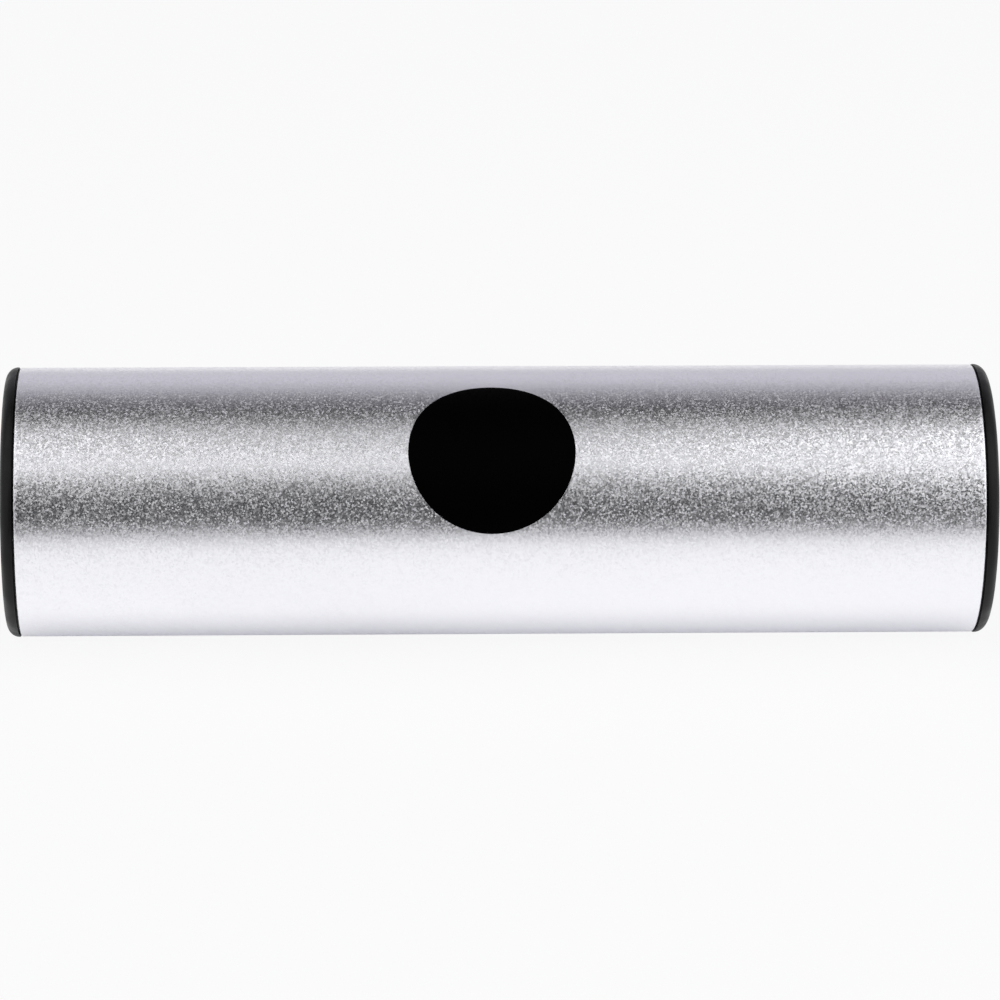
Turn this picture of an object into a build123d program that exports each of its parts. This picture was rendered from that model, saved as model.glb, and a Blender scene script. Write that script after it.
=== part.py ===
from build123d import *
from math import cos, floor, pi, radians, sin, sqrt
import os

# Ganza shaker: a round metal tube, a plug cap pressed into each end, a plain printed
# disc on the tube, and loose steel balls inside.
# It lies on its side. X runs along the tube, to the right as it is seen from the
# front, -Y is the front and +Z is up. The origin is the middle of the tube's axis.
# All lengths are in millimetres and all angles in degrees.

# Tube
tube_diameter = 60.0
tube_wall = 1.5
tube_length = 212.5
tube_edge_break = 0.3       # chamfer on both outer end edges
tube_bore_break = 0.35      # chamfer on both bore edges, where the plug enters

# End caps, two of one moulding
cap_flange_thickness = 3.05
cap_overhang = 0.1          # the flange stands this far out past the tube
cap_seam_groove = 0.4       # width of the groove between the tube's end and the flange
cap_groove_depth = 1.0      # the rest of the flange seats on the tube's end
cap_seam_round = 0.1        # round on the flange's edge beside the groove
cap_rim_land = 0.05         # straight band between that round and the rim's large round
plug_depth = 12.0
plug_wall = 2.5
plug_clearance = 0.1        # between the plug's body and the bore
plug_lead = 0.8             # chamfer on the plug's leading edge
barb_count = 3
barb_width = 2.2
barb_spacing = 3.2
barb_setback = 3.0          # from the flange to the nearest barb's edge
barb_bite = 0.12            # how far a barb's edge presses into the bore

# Printed disc
print_diameter = 36.6
print_thickness = 0.1
print_offset = -1.95        # its centre, along the tube from the middle
print_lean = 50.0           # its centre, above the horizontal at the front
print_outline_points = 24   # points of its smooth outline

# Shot: steel balls, two deep along the bottom of the bore, in nine handfuls side by
# side. Each handful stays between two flat borders, so that it can go round the bore
# without meeting the next.
ball_diameter = 4.0
ball_clearance = 0.25       # between a ball and the bore
ball_gap = 0.25             # between one ball and the next
shot_travel = 25.0          # free run left at each end of the shot
handful_count = 9
handful_gap = 0.4
heap_half_angle = 33.0      # how far the shot reaches up each side of the bore

tube_radius = tube_diameter / 2
bore_radius = tube_radius - tube_wall
half_tube = tube_length / 2
cap_radius = tube_radius + cap_overhang
cap_rim_round = cap_flange_thickness - cap_seam_groove - cap_seam_round - cap_rim_land
plug_radius = bore_radius - plug_clearance
barb_radius = bore_radius + barb_bite

os.makedirs("parts", exist_ok=True)


with BuildPart() as tube:
    with BuildSketch(Plane.YZ.offset(-half_tube)):
        Circle(tube_radius)
        Circle(bore_radius, mode=Mode.SUBTRACT)
    extrude(amount=tube_length)
    end_circles = tube.edges().filter_by(GeomType.CIRCLE).group_by(SortBy.RADIUS)
    chamfer(end_circles[-1], length=tube_edge_break)
    chamfer(end_circles[0], length=tube_bore_break)

tube.part.label = "tube"
export_step(tube.part, "parts/tube.step")


# The section is drawn as distance along the axis and radius, and turned about the axis.
with BuildPart() as right_cap:
    with BuildSketch(Plane.XZ):
        with Locations((half_tube, 0)):
            Rectangle(cap_flange_thickness, cap_radius, align=(Align.MIN, Align.MIN))
        with Locations((half_tube, cap_radius)):
            Rectangle(
                cap_seam_groove,
                cap_groove_depth,
                align=(Align.MIN, Align.MAX),
                mode=Mode.SUBTRACT,
            )
        with Locations((half_tube, plug_radius)):
            Rectangle(plug_depth, plug_wall, align=(Align.MAX, Align.MAX))
        for barb in range(barb_count):
            barb_edge = half_tube - barb_setback - barb * barb_spacing
            with BuildLine():
                Polyline(
                    (barb_edge - barb_width, plug_radius),
                    (barb_edge, barb_radius),
                    (barb_edge, plug_radius),
                    close=True,
                )
            make_face()
    revolve(axis=Axis.X)
    rings = right_cap.edges().filter_by(GeomType.CIRCLE)
    rim = rings.group_by(SortBy.RADIUS)[-1].sort_by(Axis.X)
    fillet(rim[-1], radius=cap_rim_round)
    fillet(rim[0], radius=cap_seam_round)
    plug_end = rings.group_by(Axis.X)[0].sort_by(SortBy.RADIUS)[-1]
    chamfer(plug_end, length=plug_lead)

right_cap.part.label = "right_cap"
export_step(right_cap.part, "parts/right_cap.step")


with BuildPart() as left_cap:
    mirror(right_cap.part, about=Plane.YZ)

left_cap.part.label = "left_cap"
export_step(left_cap.part, "parts/left_cap.step")


# The disc is round as it lies on the tube, so a punch along the tube's radius that cuts
# it out of a thin sleeve is a little narrower across. A point at a distance round the
# tube stands off the punch's middle by the tube's radius times the sine of its angle.
print_axis = (0, -cos(radians(print_lean)), sin(radians(print_lean)))
print_plane = Plane(origin=(print_offset, 0, 0), x_dir=(1, 0, 0), z_dir=print_axis)
print_radius = print_diameter / 2
punch_outline = []
for point in range(print_outline_points):
    angle = 2 * pi * point / print_outline_points
    round_tube = print_radius * sin(angle)
    across = tube_radius * sin(round_tube / tube_radius)
    punch_outline.append((print_radius * cos(angle), across))

with BuildPart() as printed_disc:
    with BuildSketch(print_plane):
        with BuildLine():
            Spline(*punch_outline, periodic=True)
        make_face()
    extrude(amount=tube_diameter)
    with BuildSketch(Plane.YZ.offset(-half_tube)):
        Circle(tube_radius + print_thickness)
        Circle(tube_radius, mode=Mode.SUBTRACT)
    extrude(amount=tube_length, mode=Mode.INTERSECT)

printed_disc.part.label = "printed_disc"
export_step(printed_disc.part, "parts/printed_disc.step")


# Each handful has rings of balls on the bore, every second ring shifted by half a step,
# and a second layer in the hollows between three of them. A step round the bore is as
# wide as the second layer needs, one ball nearer the axis, where the circle is smaller.
chamber_length = tube_length - 2 * plug_depth
handful_pitch = (chamber_length - 2 * shot_travel) / handful_count
handful_length = handful_pitch - handful_gap
ball_radius = ball_diameter / 2
ball_spacing = ball_diameter + ball_gap
lower_radius = bore_radius - ball_clearance - ball_radius
half_step = ball_spacing / (lower_radius - ball_diameter) / 2
half_step_width = lower_radius * sin(half_step)
least_ring_pitch = sqrt(ball_spacing**2 - half_step_width**2)
ring_count = 1 + floor((handful_length - ball_diameter) / least_ring_pitch)
ring_pitch = (handful_length - ball_diameter) / (ring_count - 1)

# An upper ball lies as near two balls of one ring as to the one between them in the
# next ring. Its radius is the smaller of those that clear the two and the one.
upper_shift = (ring_pitch**2 - half_step_width**2) / (2 * ring_pitch)
radius_over_pair = lower_radius * cos(half_step) - sqrt(
    ball_spacing**2 - upper_shift**2 - half_step_width**2
)
radius_over_one = lower_radius - sqrt(ball_spacing**2 - (ring_pitch - upper_shift) ** 2)
upper_radius = min(radius_over_pair, radius_over_one)
heap_half_steps = floor(radians(heap_half_angle) / half_step)


def lower_row(ring):
    """Half steps from the lowest line at which one ring's balls lie.

    The shot's edge is uneven: one ball is left out at one side of every third ring and
    at the other side of every fifth.
    """
    reach = range(-heap_half_steps, heap_half_steps + 1)
    steps = [step for step in reach if (step + ring) % 2 == 0]
    if ring % 3 == 0:
        steps = steps[1:]
    if ring % 5 == 0:
        steps = steps[:-1]
    return steps


def upper_row(ring):
    """Half steps of the upper balls between one ring and the next.

    Each has two balls of the ring beside it and one of the next under it, and the
    outermost on each side is left out, so that the shot slopes down to the bore.
    """
    pair, one = lower_row(ring), lower_row(ring + 1)
    return [step for step in one if step - 1 in pair and step + 1 in pair][1:-1]


def ball_place(along, radius, step):
    """Centre of a ball, from its place along the tube, its radius and its half steps."""
    turn = step * half_step - pi / 2
    return (along, radius * cos(turn), radius * sin(turn))


ball_total = 0
for handful in range(handful_count):
    handful_start = (handful - handful_count / 2) * handful_pitch
    first_ring_place = handful_start + handful_gap / 2 + ball_radius
    first_ring = handful * ring_count
    lower_places = [
        ball_place(first_ring_place + ring * ring_pitch, lower_radius, step)
        for ring in range(ring_count)
        for step in lower_row(first_ring + ring)
    ]
    upper_places = [
        ball_place(first_ring_place + ring * ring_pitch + upper_shift, upper_radius, step)
        for ring in range(ring_count - 1)
        for step in upper_row(first_ring + ring)
    ]
    ball_total += len(lower_places) + len(upper_places)

    with BuildPart() as shot_lower:
        with Locations(lower_places):
            Sphere(ball_radius)

    shot_lower.part.label = f"shot_{handful + 1}_lower"
    export_step(shot_lower.part, f"parts/{shot_lower.part.label}.step")

    with BuildPart() as shot_upper:
        with Locations(upper_places):
            Sphere(ball_radius)

    shot_upper.part.label = f"shot_{handful + 1}_upper"
    export_step(shot_upper.part, f"parts/{shot_upper.part.label}.step")

print("balls", ball_total, "rings to a handful", ring_count)
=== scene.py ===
"""Looks of a ganza shaker: a satin metal tube, a black plug cap in each end, a plain
black print and loose steel balls inside. It lies on a pale floor, with X along the tube,
-Y at the front and +Z up. All lengths are in metres."""
import logging
from dataclasses import dataclass
from enum import Enum
from math import cos, pi, radians, sin

import bpy
import numpy as np
from mathutils import Matrix, Vector


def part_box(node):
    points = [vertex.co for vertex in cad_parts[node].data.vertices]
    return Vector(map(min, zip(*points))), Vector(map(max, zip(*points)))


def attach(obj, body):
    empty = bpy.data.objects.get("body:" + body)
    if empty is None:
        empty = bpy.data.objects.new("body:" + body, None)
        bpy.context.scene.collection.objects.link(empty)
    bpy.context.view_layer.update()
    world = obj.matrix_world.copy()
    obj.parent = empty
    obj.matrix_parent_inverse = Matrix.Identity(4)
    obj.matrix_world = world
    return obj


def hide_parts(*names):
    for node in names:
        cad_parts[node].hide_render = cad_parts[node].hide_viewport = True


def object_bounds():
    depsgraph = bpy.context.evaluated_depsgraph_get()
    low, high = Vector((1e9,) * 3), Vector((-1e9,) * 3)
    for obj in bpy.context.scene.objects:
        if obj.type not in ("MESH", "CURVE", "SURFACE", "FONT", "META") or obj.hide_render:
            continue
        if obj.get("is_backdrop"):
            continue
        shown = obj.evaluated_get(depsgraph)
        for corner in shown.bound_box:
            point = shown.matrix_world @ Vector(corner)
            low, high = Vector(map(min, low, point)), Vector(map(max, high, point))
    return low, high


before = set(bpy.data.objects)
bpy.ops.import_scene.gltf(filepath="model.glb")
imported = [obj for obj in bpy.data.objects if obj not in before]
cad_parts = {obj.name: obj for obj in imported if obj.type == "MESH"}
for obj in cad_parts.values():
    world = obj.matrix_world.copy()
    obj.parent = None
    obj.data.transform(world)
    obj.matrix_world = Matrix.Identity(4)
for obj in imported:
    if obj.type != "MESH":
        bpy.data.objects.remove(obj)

LOG = logging.getLogger("ganza_shaker")
MM = 0.001

Colour = tuple[float, float, float]


class Side(Enum):
    """The end of the tube that a cap closes, with the sign of X there."""

    LEFT = -1
    RIGHT = 1


def straight(start: tuple[float, float], end: tuple[float, float], steps: int) -> np.ndarray:
    """Points of a straight run, closer together near its two ends.

    The share gone is (1 - cos(pi t)) / 2, so that smooth shading stays true beside an
    edge. The end point is left out, because the next run starts with it.

    Args:
        start: place along the axis and radius of the first point.
        end: the same of the point that the run leads to.
        steps: number of points.

    Returns:
        An array of steps rows of place and radius.
    """
    share = (1 - np.cos(pi * np.arange(steps) / steps)) / 2
    return np.asarray(start) + share[:, None] * (np.asarray(end) - np.asarray(start))


def bend(
    centre: tuple[float, float], radius: float, turn: tuple[float, float], steps: int
) -> np.ndarray:
    """Points of an arc, evenly spaced, without the last.

    Each point is the centre plus the radius times (cos, sin) of its angle.

    Args:
        centre: place along the axis and radius of the arc's centre.
        radius: radius of the arc itself.
        turn: first and last angle in degrees, from the axis towards larger radius.
        steps: number of points.

    Returns:
        An array of steps rows of place and radius.
    """
    angle = np.radians(turn[0] + (turn[1] - turn[0]) * np.arange(steps) / steps)
    return np.asarray(centre) + radius * np.stack([np.cos(angle), np.sin(angle)], axis=1)


def skin(rings: np.ndarray, poles: np.ndarray | None) -> tuple[np.ndarray, list[list[int]]]:
    """Joins rings of points into a closed surface.

    Args:
        rings: x, y and z by ring and by point round the ring.
        poles: the two points at which fans close the first and the last ring, or None
            where the last ring joins the first.

    Returns:
        The points, and the faces as lists of point numbers.
    """
    count, around = rings.shape[:2]
    number = np.arange(count * around).reshape(count, around)
    near, far = number, np.roll(number, -1, axis=0)
    if poles is not None:
        near, far = number[:-1], number[1:]
    quads = np.stack([near, far, np.roll(far, -1, axis=1), np.roll(near, -1, axis=1)], axis=-1)
    points, faces = rings.reshape(-1, 3), quads.reshape(-1, 4).tolist()
    if poles is not None:
        start, end = number[0], number[-1]
        first, last = np.full(around, len(points)), np.full(around, len(points) + 1)
        faces += np.stack([first, start, np.roll(start, -1)], axis=1).tolist()
        faces += np.stack([last, np.roll(end, -1), end], axis=1).tolist()
        points = np.vstack([points, poles])
    return points, faces


def turned_surface(section: np.ndarray, around: int) -> tuple[np.ndarray, list[list[int]]]:
    """The closed surface that a section makes when it turns about X.

    A point at place x and radius r goes to (x, r cos a, r sin a) for every angle a. A
    section that starts and ends on the axis is closed there by a fan at each pole, and
    any other is taken as a ring and closed on itself.

    Args:
        section: rows of place along the axis and radius, in the order that puts the
            outside on the left of the way along it when the radius points up.
        around: number of angles.

    Returns:
        The points, and the faces as lists of point numbers.
    """
    poles = None
    if section[0, 1] == 0:
        poles = np.array([[section[0, 0], 0, 0], [section[-1, 0], 0, 0]])
        section = section[1:-1]
    angle = 2 * pi * np.arange(around) / around
    place = np.broadcast_to(section[:, :1], (len(section), around))
    radius = section[:, 1:]
    rings = np.stack([place, radius * np.cos(angle), radius * np.sin(angle)], axis=-1)
    return skin(rings, poles)


def make_piece(
    name: str, points: np.ndarray, faces: list[list[int]], finish: bpy.types.Material
) -> bpy.types.Object:
    """A smooth-shaded mesh piece with one material, with its place in its mesh.

    Args:
        name: the piece's name.
        points: rows of x, y and z.
        faces: lists of point numbers, counter-clockwise from outside.
        finish: its material.

    Returns:
        The new object, linked into the scene.
    """
    mesh = bpy.data.meshes.new(name)
    mesh.from_pydata(points.tolist(), [], faces)
    mesh.polygons.foreach_set("use_smooth", np.ones(len(faces), dtype=bool))
    mesh.materials.append(finish)
    mesh.update()
    piece = bpy.data.objects.new(name, mesh)
    bpy.context.scene.collection.objects.link(piece)
    return piece


class Nodes:
    """A node tree, with short ways to add and join its nodes."""

    def __init__(self, tree: bpy.types.NodeTree) -> None:
        """Keeps the tree."""
        self.tree = tree

    def add(self, kind: str, **settings: object) -> bpy.types.Node:
        """Adds a node of a kind and sets its named properties."""
        node = self.tree.nodes.new(kind)
        for setting, value in settings.items():
            setattr(node, setting, value)
        return node

    def join(self, source: bpy.types.NodeSocket, target: bpy.types.NodeSocket) -> None:
        """Links an output to an input."""
        self.tree.links.new(source, target)

    def maths(
        self, operation: str, *terms: bpy.types.NodeSocket | float
    ) -> bpy.types.NodeSocket:
        """Works out one operation.

        Args:
            operation: the operation of the maths node.
            terms: what it works on, each the output of a node or a plain number.

        Returns:
            The result.
        """
        node = self.add("ShaderNodeMath", operation=operation)
        for entry, term in zip(node.inputs, terms):
            if isinstance(term, bpy.types.NodeSocket):
                self.join(term, entry)
            else:
                entry.default_value = term
        return node.outputs[0]


class FinishNodes(Nodes):
    """The nodes of a piece's material."""

    def __init__(self, name: str, colour: Colour, metallic: float, roughness: float) -> None:
        """Starts a material with a main shader and the piece's own coordinates.

        Args:
            name: the material's name.
            colour: the shader's base colour, in linear light.
            metallic: 1 for bare metal, else 0.
            roughness: the shader's roughness.
        """
        self.material = bpy.data.materials.new(name)
        self.material.use_nodes = True
        self.material.diffuse_color = (*colour, 1)
        super().__init__(self.material.node_tree)
        self.shader = self.tree.nodes["Principled BSDF"]
        self.shader.inputs["Base Color"].default_value = (*colour, 1)
        self.shader.inputs["Metallic"].default_value = metallic
        self.shader.inputs["Roughness"].default_value = roughness
        self.place = self.add("ShaderNodeTexCoord").outputs["Object"]

    def clouds(self, size: float, detail: float) -> bpy.types.Node:
        """A noise texture on the piece's own coordinates.

        Args:
            size: the width of its largest features, in metres.
            detail: number of finer layers.

        Returns:
            The noise node.
        """
        noise = self.add("ShaderNodeTexNoise")
        noise.inputs["Scale"].default_value = 1 / size
        noise.inputs["Detail"].default_value = detail
        self.join(self.place, noise.inputs["Vector"])
        return noise

    def cells(self, size: float) -> bpy.types.Node:
        """A Voronoi texture on the piece's own coordinates, with cells of a width."""
        cells = self.add("ShaderNodeTexVoronoi")
        cells.inputs["Scale"].default_value = 1 / size
        self.join(self.place, cells.inputs["Vector"])
        return cells

    def spread(
        self, source: bpy.types.NodeSocket, low: tuple[float, float], high: tuple[float, float]
    ) -> bpy.types.NodeSocket:
        """Maps a value in a straight line and holds it at both ends.

        Args:
            source: the value.
            low: what goes in and what comes out at one end.
            high: the same at the other end.

        Returns:
            The mapped value.
        """
        ramp = self.add("ShaderNodeMapRange")
        ramp.inputs["From Min"].default_value, ramp.inputs["To Min"].default_value = low
        ramp.inputs["From Max"].default_value, ramp.inputs["To Max"].default_value = high
        self.join(source, ramp.inputs["Value"])
        return ramp.outputs["Result"]

    def tilt(
        self,
        direction: bpy.types.NodeSocket,
        along: float,
        across: float,
        onto: bpy.types.NodeSocket,
    ) -> bpy.types.NodeSocket:
        """Leans a normal by a random colour, as facets of blasted metal do.

        The colour less one half is a vector about zero. It is scaled and added to the
        normal.

        Args:
            direction: the random colour.
            along: how far the facets lean along X, as a share of the normal.
            across: how far they lean along Y and Z.
            onto: the normal that leans.

        Returns:
            The leaning normal, at unit length.
        """
        centred = self.add("ShaderNodeVectorMath", operation="SUBTRACT")
        centred.inputs[1].default_value = (0.5, 0.5, 0.5)
        self.join(direction, centred.inputs[0])
        added = self.add("ShaderNodeVectorMath", operation="MULTIPLY_ADD")
        added.inputs[1].default_value = (along, across, across)
        self.join(centred.outputs[0], added.inputs[0])
        self.join(onto, added.inputs[2])
        unit = self.add("ShaderNodeVectorMath", operation="NORMALIZE")
        self.join(added.outputs[0], unit.inputs[0])
        return unit.outputs[0]

    def relief(self, height: bpy.types.NodeSocket, depth: float) -> bpy.types.NodeSocket:
        """A bump of a real depth from a height of 0 to 1.

        Args:
            height: the height.
            depth: what a height of 1 stands for, in metres.

        Returns:
            The bumped normal.
        """
        bump = self.add("ShaderNodeBump")
        bump.inputs["Distance"].default_value = depth
        self.join(height, bump.inputs["Height"])
        return bump.outputs["Normal"]


@dataclass(frozen=True)
class BlastedMetal:
    """Anodised aluminium, fine-blasted. Its grains differ in roughness and lean a little.

    A grain's roughness goes from the smoothest to the roughest as a random number from 0
    to 1, raised to smooth_power, which leaves most grains smooth. A pit is as wide as
    pit_share of the pits' spacing, and its edge fades out at pit_fade times that. A pit's
    darker colour is painted shade inside it.
    """

    colour: Colour = (0.962, 0.962, 1.0)
    smoothest: float = 0.279
    roughest: float = 0.58
    grain_width: float = 0.34 * MM
    lean_along: float = 0.25
    lean_round: float = 0.06
    smooth_power: float = 2.95
    smudge_width: float = 14 * MM
    smudge_detail: float = 3
    smudge_range: tuple[float, float] = (0.35, 0.65)
    smudge_roughness: float = 0.02
    pit_spacing: float = 16 * MM
    pit_share: float = 0.014
    pit_fade: float = 1.5
    # Painted shade: a pit's darker colour stands in for the shade inside it.
    pit_shade_colour: Colour = (0.4, 0.4, 0.42)

    def material(self) -> bpy.types.Material:
        """The tube's finish: sparkling grains, faint smudges and rare pits darkened by painted
        shade.
        """
        nodes = FinishNodes("blasted_metal", self.colour, 1, self.smoothest)
        surface = nodes.add("ShaderNodeNewGeometry").outputs["Normal"]
        grains = nodes.cells(self.grain_width)
        lean = nodes.tilt(grains.outputs["Color"], self.lean_along, self.lean_round, surface)
        nodes.join(lean, nodes.shader.inputs["Normal"])

        chance = nodes.add("ShaderNodeTexWhiteNoise")
        nodes.join(grains.outputs["Position"], chance.inputs["Vector"])
        mostly_smooth = nodes.maths("POWER", chance.outputs["Value"], self.smooth_power)
        rough = nodes.spread(mostly_smooth, (0, self.smoothest), (1, self.roughest))
        smudge = nodes.clouds(self.smudge_width, self.smudge_detail).outputs["Fac"]
        clear, smudged = self.smudge_range
        extra = nodes.spread(smudge, (clear, 0), (smudged, self.smudge_roughness))
        nodes.join(nodes.maths("ADD", rough, extra), nodes.shader.inputs["Roughness"])

        # Rare pits: painted shade in the base colour darkens each pit.
        near_pit = nodes.cells(self.pit_spacing).outputs["Distance"]
        faded = self.pit_share * self.pit_fade
        bare = nodes.spread(near_pit, (self.pit_share, 0), (faded, 1))
        mix = nodes.add("ShaderNodeMix", data_type="RGBA")
        mix.inputs["A"].default_value = (*self.pit_shade_colour, 1)
        mix.inputs["B"].default_value = (*self.colour, 1)
        nodes.join(bare, mix.inputs["Factor"])
        nodes.join(mix.outputs["Result"], nodes.shader.inputs["Base Color"])
        return nodes.material


@dataclass(frozen=True)
class MouldedRubber:
    """Black moulded rubber, satin and finely mottled."""

    colour: Colour = (0.003, 0.003, 0.0034)
    roughness: float = 0.43
    specular: float = 0.23
    mottle_width: float = 0.5 * MM
    mottle_depth: float = 0.02 * MM
    mottle_detail: float = 3
    scuff_width: float = 6 * MM
    scuff_detail: float = 4
    scuff_range: tuple[float, float] = (0.4, 0.6)
    scuff_roughness: float = 0.12

    def material(self) -> bpy.types.Material:
        """The caps' finish: a fine leathery relief, and scuffs that change its sheen."""
        nodes = FinishNodes("moulded_rubber", self.colour, 0, self.roughness)
        nodes.shader.inputs["Specular IOR Level"].default_value = self.specular
        mottle = nodes.clouds(self.mottle_width, self.mottle_detail).outputs["Fac"]
        nodes.join(nodes.relief(mottle, self.mottle_depth), nodes.shader.inputs["Normal"])
        scuffs = nodes.clouds(self.scuff_width, self.scuff_detail).outputs["Fac"]
        rubbed, dull = self.scuff_range
        rough = nodes.spread(
            scuffs,
            (rubbed, self.roughness - self.scuff_roughness / 2),
            (dull, self.roughness + self.scuff_roughness / 2),
        )
        nodes.join(rough, nodes.shader.inputs["Roughness"])
        return nodes.material


@dataclass(frozen=True)
class PrintInk:
    """Black screen ink that lies on the tube's grain and fills most of it."""

    colour: Colour = (0.0006, 0.0006, 0.0007)
    roughness: float = 0.45
    specular: float = 0.015
    grain_width: float = 0.45 * MM
    grain_lean: float = 0.1

    def material(self) -> bpy.types.Material:
        """The print's finish: near black, with a little of the metal's grain."""
        nodes = FinishNodes("print_ink", self.colour, 0, self.roughness)
        nodes.shader.inputs["Specular IOR Level"].default_value = self.specular
        surface = nodes.add("ShaderNodeNewGeometry").outputs["Normal"]
        grain = nodes.cells(self.grain_width).outputs["Color"]
        lean = nodes.tilt(grain, self.grain_lean, self.grain_lean, surface)
        nodes.join(lean, nodes.shader.inputs["Normal"])
        return nodes.material


@dataclass(frozen=True)
class BallSteel:
    """Ground steel of the balls, bright, with faint marks from rubbing together."""

    colour: Colour = (0.56, 0.57, 0.58)
    roughness: float = 0.16
    mark_width: float = 1.2 * MM
    mark_detail: float = 4
    mark_range: tuple[float, float] = (0.45, 0.7)
    mark_roughness: float = 0.12

    def material(self) -> bpy.types.Material:
        """The balls' finish: a bright metal whose sheen changes in small marks."""
        nodes = FinishNodes("ball_steel", self.colour, 1, self.roughness)
        marks = nodes.clouds(self.mark_width, self.mark_detail).outputs["Fac"]
        clear, marked = self.mark_range
        dull = self.roughness + self.mark_roughness
        rough = nodes.spread(marks, (clear, self.roughness), (marked, dull))
        nodes.join(rough, nodes.shader.inputs["Roughness"])
        return nodes.material


@dataclass
class Tube:
    """The metal tube, open at both ends."""

    finish: BlastedMetal
    wall: float = 1.5 * MM
    edge_round: float = 0.3 * MM
    bore_break: float = 0.35 * MM
    around: int = 288
    along_steps: int = 28
    edge_steps: int = 4
    end_steps: int = 3
    break_steps: int = 2

    def __post_init__(self) -> None:
        """Reads the tube's radius and half length from the frame."""
        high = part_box("tube")[1]
        self.half_length, self.radius = high.x, high.z

    def section(self) -> np.ndarray:
        """The wall's outline, from the right end along the outside and back in the bore."""
        half, outer, inner = self.half_length, self.radius, self.radius - self.wall
        edge, lead = self.edge_round, self.bore_break
        return np.vstack(
            [
                straight((half - edge, outer), (edge - half, outer), self.along_steps),
                bend((edge - half, outer - edge), edge, (90, 180), self.edge_steps),
                straight((-half, outer - edge), (-half, inner + lead), self.end_steps),
                straight((-half, inner + lead), (lead - half, inner), self.break_steps),
                straight((lead - half, inner), (half - lead, inner), self.along_steps),
                straight((half - lead, inner), (half, inner + lead), self.break_steps),
                straight((half, inner + lead), (half, outer - edge), self.end_steps),
                bend((half - edge, outer - edge), edge, (0, 90), self.edge_steps),
            ]
        )

    def build(self) -> bpy.types.Object:
        """Makes the tube's shell and puts it in the CAD tube's place."""
        points, faces = turned_surface(self.section(), self.around)
        piece = make_piece("tube_shell", points, faces, self.finish.material())
        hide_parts("tube")
        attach(piece, "shaker")
        return piece


@dataclass
class Cap:
    """A plug cap: a round flange with a rounded rim, and a barbed plug in the bore."""

    side: Side
    material: bpy.types.Material
    tube: Tube
    seam_groove: float = 0.4 * MM
    groove_depth: float = 1.0 * MM
    seam_round: float = 0.1 * MM
    rim_land: float = 0.05 * MM
    plug_wall: float = 2.5 * MM
    plug_clearance: float = 0.1 * MM
    plug_lead: float = 0.8 * MM
    barb_count: int = 3
    barb_width: float = 2.2 * MM
    barb_spacing: float = 3.2 * MM
    barb_setback: float = 3.0 * MM
    barb_bite: float = 0.12 * MM
    around: int = 288
    face_steps: int = 9
    rim_steps: int = 14
    seam_steps: int = 5
    groove_steps: int = 3
    short_steps: int = 2
    cup_wall_steps: int = 4
    cup_floor_steps: int = 6

    def __post_init__(self) -> None:
        """Reads the cap's radius, flange and plug depth from the frame."""
        low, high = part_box(f"{self.side.name.lower()}_cap")
        ends = sorted((abs(low.x), abs(high.x)))
        self.radius = high.z
        self.flange = ends[1] - self.tube.half_length
        self.plug_depth = self.tube.half_length - ends[0]

    def plug_outline(self) -> np.ndarray:
        """The plug's outside from the flange to its leading edge, barb by barb.

        A barb stands up square on the flange's side and slopes down to the other, so
        that the plug goes in more easily than it comes out.
        """
        bore = self.tube.radius - self.tube.wall
        body, edge = bore - self.plug_clearance, bore + self.barb_bite
        first = -self.barb_setback - self.barb_spacing * np.arange(self.barb_count)
        places = np.stack([first, first, first - self.barb_width], axis=1).ravel()
        radii = np.tile([body, edge, body], self.barb_count)
        start = [[0, body]]
        lead = [[self.plug_lead - self.plug_depth, body]]
        return np.vstack([start, np.stack([places, radii], axis=1), lead])

    def section(self) -> np.ndarray:
        """The cap's outline from the middle of its face round to the middle of its cup.

        Places are measured outwards from the tube's end.
        """
        groove, seam = self.seam_groove, self.seam_round
        rim_round = self.flange - groove - seam - self.rim_land
        groove_floor = self.radius - self.groove_depth
        body = self.tube.radius - self.tube.wall - self.plug_clearance
        cup, depth = body - self.plug_wall, self.plug_depth
        face, out = self.flange, self.radius
        rim_place, rim_radius = face - rim_round, out - rim_round
        return np.vstack(
            [
                straight((face, 0), (face, rim_radius), self.face_steps),
                bend((rim_place, rim_radius), rim_round, (0, 90), self.rim_steps),
                straight((rim_place, out), (groove + seam, out), self.short_steps),
                bend((groove + seam, out - seam), seam, (90, 180), self.seam_steps),
                straight((groove, out - seam), (groove, groove_floor), self.groove_steps),
                straight((groove, groove_floor), (0, groove_floor), self.groove_steps),
                straight((0, groove_floor), (0, body), self.short_steps),
                self.plug_outline(),
                straight((-depth, body - self.plug_lead), (-depth, cup), self.short_steps),
                straight((-depth, cup), (0, cup), self.cup_wall_steps),
                straight((0, cup), (0, 0), self.cup_floor_steps),
                [[0, 0]],
            ]
        )

    def build(self) -> bpy.types.Object:
        """Makes the cap, mirrored at the left end, and puts it in its CAD node's place."""
        section = self.section()
        section[:, 0] += self.tube.half_length
        points, faces = turned_surface(section, self.around)
        points[:, 0] *= self.side.value
        if self.side is Side.LEFT:
            faces = [face[::-1] for face in faces]
        name = f"{self.side.name.lower()}_cap"
        piece = make_piece(f"{name}_moulding", points, faces, self.material)
        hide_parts(name)
        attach(piece, "shaker")
        return piece


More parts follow.
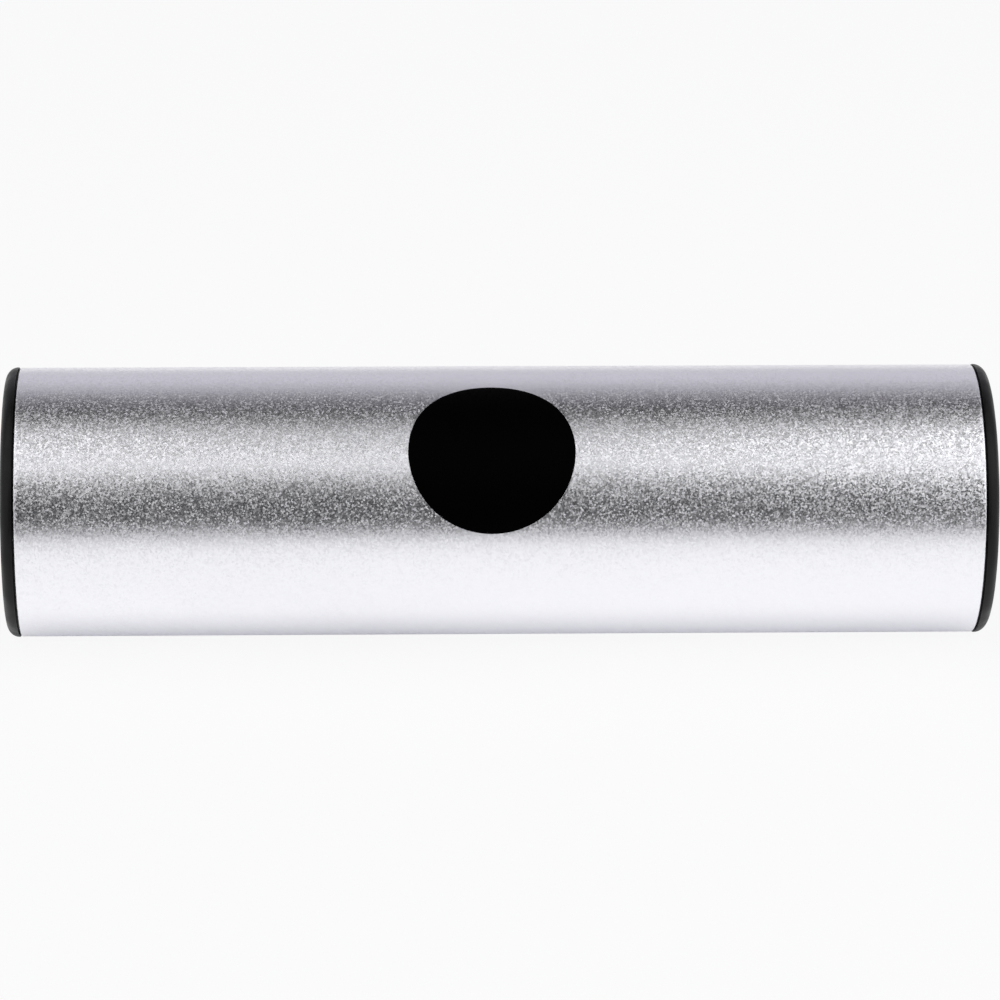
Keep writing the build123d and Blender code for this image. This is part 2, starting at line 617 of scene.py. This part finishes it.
@dataclass
class PrintedDisc:
    """The round print: a thin layer that follows the tube."""

    finish: PrintInk
    tube: Tube
    lean: float = 50.0
    thickness: float = 0.1 * MM
    rings: int = 24
    around: int = 192

    def __post_init__(self) -> None:
        """Reads the print's width and middle from the frame."""
        low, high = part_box("printed_disc")
        self.radius = (high.x - low.x) / 2
        self.middle = (high.x + low.x) / 2

    def layer(self, height: float) -> np.ndarray:
        """The rings of a round patch, bent onto the tube at a height above its metal.

        A point of the disc at distance d and angle a lies u = d cos a along the tube and
        v = d sin a round it, so that it is v over the tube's radius, in radians, from the
        line through the disc's middle.

        Args:
            height: how far the patch lies above the metal.

        Returns:
            An array of rings of points.
        """
        distance = self.radius * np.sqrt(np.arange(1, self.rings + 1) / self.rings)
        angle = 2 * pi * np.arange(self.around) / self.around
        u = distance[:, None] * np.cos(angle)
        v = distance[:, None] * np.sin(angle)
        turn = radians(self.lean) + v / self.tube.radius
        out = self.tube.radius + height
        return np.stack([self.middle + u, -out * np.cos(turn), out * np.sin(turn)], axis=-1)

    def build(self) -> bpy.types.Object:
        """Makes the closed layer, top, edge and underside, in its CAD node's place."""
        top, under = self.layer(self.thickness), self.layer(0)[::-1]
        middles = np.stack([self.middle_point(self.thickness), self.middle_point(0)])
        points, faces = skin(np.concatenate([top, under]), middles)
        piece = make_piece("print_layer", points, faces, self.finish.material())
        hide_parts("printed_disc")
        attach(piece, "shaker")
        return piece

    def middle_point(self, height: float) -> np.ndarray:
        """The middle of the patch at a height above the metal."""
        out, turn = self.tube.radius + height, radians(self.lean)
        return np.array([self.middle, -out * cos(turn), out * sin(turn)])


@dataclass
class Shot:
    """The loose steel balls, whose CAD shapes are right and only need their finish."""

    finish: BallSteel

    def build(self) -> list[bpy.types.Object]:
        """Gives every node of balls the steel finish.

        Returns:
            The nodes' objects, in name order.
        """
        steel = self.finish.material()
        names = sorted(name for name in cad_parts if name.startswith("shot_"))
        nodes = [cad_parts[name] for name in names]
        for node in nodes:
            node.data.materials.clear()
            node.data.materials.append(steel)
        return nodes


@dataclass(frozen=True)
class Softbox:
    """A rectangular lamp that faces the middle of the tube.

    Its place is so far along X, and so far from the tube's axis at its height angle above
    the front horizon. Its width lies along the tube. A brightness of 1 is white.
    """

    name: str
    along: float
    height_angle: float
    distance: float
    width: float
    depth: float
    brightness: float

    def hang(self) -> bpy.types.Object:
        """Hangs the lamp.

        Its power is its brightness times pi times its area.

        Returns:
            The lamp's object.
        """
        lamp = bpy.data.lights.new(self.name, "AREA")
        lamp.shape = "RECTANGLE"
        lamp.size, lamp.size_y = self.width, self.depth
        lamp.energy = self.brightness * pi * self.width * self.depth
        hung = bpy.data.objects.new(self.name, lamp)
        turn = radians(self.height_angle)
        place = Vector((self.along, -self.distance * cos(turn), self.distance * sin(turn)))
        facing = place.to_track_quat("Z", "Y").to_matrix().to_4x4()
        hung.matrix_world = Matrix.Translation(place) @ facing
        bpy.context.scene.collection.objects.link(hung)
        return hung


@dataclass
class Studio:
    """A pale floor, the soft surroundings and the lamps.

    The white shares say how much of the floor is plain white to the camera and in
    mirrors. In mirrors that share fades where something stands nearer than dim_under:
    this is painted contact shade in the floor's glow.
    """

    floor_height: float
    floor_half_width: float = 9.0
    floor_colour: Colour = (0.925, 0.925, 0.97)
    seen_white_share: float = 0.9
    mirrored_white_share: float = 0.99
    dim_under: float = 13 * MM
    dim_samples: int = 8
    softboxes: tuple[Softbox, ...] = (
        Softbox("left_softbox", -0.59, 64.8, 0.619, 1.112, 1.17, 1.02),
        Softbox("right_softbox", 0.6, 64.8, 0.619, 1.112, 1.17, 1.12),
        Softbox("right_fill", 0.33, 31.0, 0.35, 0.32, 0.24, 0.26),
    )
    # Brightness of the surroundings by angle round the tube: -180 and 180 are the back
    # horizon, -90 is straight down, 0 the front horizon and 90 straight up.
    surroundings: tuple[tuple[float, Colour], ...] = (
        (-180, (0.481, 0.468, 0.508)),
        (-90, (0.9, 0.9, 0.92)),
        (-5, (0.9, 0.9, 0.92)),
        (0, (0.136, 0.133, 0.148)),
        (12, (0.0, 0.0, 0.0)),
        (60, (0.0, 0.0, 0.0)),
        (90, (0.35, 0.35, 0.35)),
        (105, (0.0, 0.0, 0.0)),
        (118, (0.0, 0.0, 0.0)),
        (130, (0.221, 0.215, 0.234)),
        (142, (0.451, 0.439, 0.477)),
        (155, (0.657, 0.64, 0.695)),
        (180, (0.481, 0.468, 0.508)),
    )

    def lay_floor(self) -> bpy.types.Object:
        """Lays the floor: its lit colour, which keeps the shadow, under a share of white."""
        half = self.floor_half_width
        square = np.array([[-half, -half], [half, -half], [half, half], [-half, half]])
        points = np.column_stack([square, np.full(len(square), self.floor_height)])
        material = bpy.data.materials.new("pale_floor")
        material.use_nodes = True
        nodes = Nodes(material.node_tree)
        nodes.tree.nodes.clear()
        matt = nodes.add("ShaderNodeBsdfDiffuse")
        matt.inputs["Color"].default_value = (*self.floor_colour, 1)
        glow = nodes.add("ShaderNodeEmission")
        rays = nodes.add("ShaderNodeLightPath").outputs
        # Painted contact shade: ambient occlusion dims the white glow that mirrors see under
        # the object.
        contact_shade = nodes.add("ShaderNodeAmbientOcclusion", samples=self.dim_samples)
        contact_shade.inputs["Distance"].default_value = self.dim_under
        mirrored_share_with_shade = nodes.maths("MULTIPLY", contact_shade.outputs["AO"], self.mirrored_white_share)
        white = nodes.maths("MULTIPLY", rays["Is Camera Ray"], self.seen_white_share)
        for kind in ("Glossy", "Transmission"):
            mirrored = nodes.maths("MULTIPLY", rays[f"Is {kind} Ray"], mirrored_share_with_shade)
            white = nodes.maths("MAXIMUM", white, mirrored)
        mix = nodes.add("ShaderNodeMixShader")
        nodes.join(white, mix.inputs["Fac"])
        nodes.join(matt.outputs[0], mix.inputs[1])
        nodes.join(glow.outputs[0], mix.inputs[2])
        output = nodes.add("ShaderNodeOutputMaterial")
        nodes.join(mix.outputs[0], output.inputs["Surface"])
        floor = make_piece("floor", points, [[0, 1, 2, 3]], material)
        floor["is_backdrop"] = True
        return floor

    def surround(self) -> None:
        """Sets the world: a soft ramp of brightness by the angle round the tube.

        The angle of a direction is the arc tangent of its z over its -y, in turns. The
        camera itself sees plain white past the floor.
        """
        world = bpy.data.worlds.new("studio_surroundings")
        bpy.context.scene.world = world
        world.use_nodes = True
        nodes = Nodes(world.node_tree)
        direction = nodes.add("ShaderNodeTexCoord")
        parts = nodes.add("ShaderNodeSeparateXYZ")
        nodes.join(direction.outputs["Generated"], parts.inputs[0])
        forward = nodes.maths("MULTIPLY", parts.outputs["Y"], -1)
        angle = nodes.maths("ARCTAN2", parts.outputs["Z"], forward)
        turns = nodes.add("ShaderNodeMapRange")
        turns.inputs["From Min"].default_value = -pi
        turns.inputs["From Max"].default_value = pi
        nodes.join(angle, turns.inputs["Value"])
        ramp = nodes.add("ShaderNodeValToRGB")
        ramp.color_ramp.interpolation = "EASE"
        stops = ramp.color_ramp.elements
        while len(stops) < len(self.surroundings):
            stops.new(1)
        for stop, (degrees_round, colour) in zip(stops, self.surroundings):
            stop.position = degrees_round / 360 + 0.5
            stop.color = (*colour, 1)
        nodes.join(turns.outputs["Result"], ramp.inputs["Fac"])
        rays = nodes.add("ShaderNodeLightPath")
        mix = nodes.add("ShaderNodeMix", data_type="RGBA")
        mix.inputs["B"].default_value = (1, 1, 1, 1)
        nodes.join(rays.outputs["Is Camera Ray"], mix.inputs["Factor"])
        nodes.join(ramp.outputs["Color"], mix.inputs["A"])
        nodes.join(mix.outputs["Result"], nodes.tree.nodes["Background"].inputs["Color"])

    def build(self) -> None:
        """Lays the floor, sets the surroundings and hangs the lamps."""
        self.lay_floor()
        self.surround()
        for softbox in self.softboxes:
            softbox.hang()


@dataclass(frozen=True)
class PhotoCamera:
    """The camera at the photograph's viewing angle.

    The picture's middle line runs 0.25 degrees off the tube, which is the camera's roll.
    """

    distance: float = 1.1144
    aside: float = -0.0326
    elevation: float = 29.31
    turn: float = 1.706
    roll: float = 0.253
    focal_pixels: float = 4975.6
    picture_pixels: float = 1000.0
    sensor_mm: float = 36.0
    nearest: float = 0.01
    furthest: float = 100.0

    def set_up(self) -> bpy.types.Object:
        """Places the camera and makes it the scene's own.

        It stands at right angles to the tube at the elevation, moved aside along X, and
        is turned back towards the tube's middle about its own upright.
        """
        up_angle, turn, roll = radians(self.elevation), radians(self.turn), radians(self.roll)
        along = Vector((1, 0, 0))
        ahead = Vector((0, cos(up_angle), -sin(up_angle)))
        upright = along.cross(ahead)
        look = ahead * cos(turn) + along * sin(turn)
        right = along * cos(turn) - ahead * sin(turn)
        rolled_up = upright * cos(roll) + right * sin(roll)
        rolled_right = right * cos(roll) - upright * sin(roll)
        lens = bpy.data.cameras.new("photo_camera")
        lens.sensor_fit = "HORIZONTAL"
        lens.sensor_width = self.sensor_mm
        lens.lens = self.focal_pixels * self.sensor_mm / self.picture_pixels
        lens.clip_start, lens.clip_end = self.nearest, self.furthest
        camera = bpy.data.objects.new("photo_camera", lens)
        axes = Matrix((rolled_right, rolled_up, -look)).transposed().to_4x4()
        place = along * self.aside - ahead * self.distance
        camera.matrix_world = Matrix.Translation(place) @ axes
        bpy.context.scene.collection.objects.link(camera)
        bpy.context.scene.camera = camera
        return camera


def main() -> None:
    """Builds the shaker's looks around the frame, then the studio and the camera."""
    logging.basicConfig(level=logging.INFO, format="%(name)s: %(message)s")
    cad_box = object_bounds()
    bpy.context.scene.view_settings.view_transform = "Standard"
    PhotoCamera().set_up()

    tube = Tube(BlastedMetal())
    rubber = MouldedRubber().material()
    built = [tube.build()]
    built += [Cap(side, rubber, tube).build() for side in Side]
    built.append(PrintedDisc(PrintInk(), tube).build())
    built += Shot(BallSteel()).build()
    for piece in built:
        LOG.info("%s: %d faces", piece.name, len(piece.data.polygons))

    Studio(floor_height=cad_box[0].z).build()


if __name__ == "__main__":
    main()
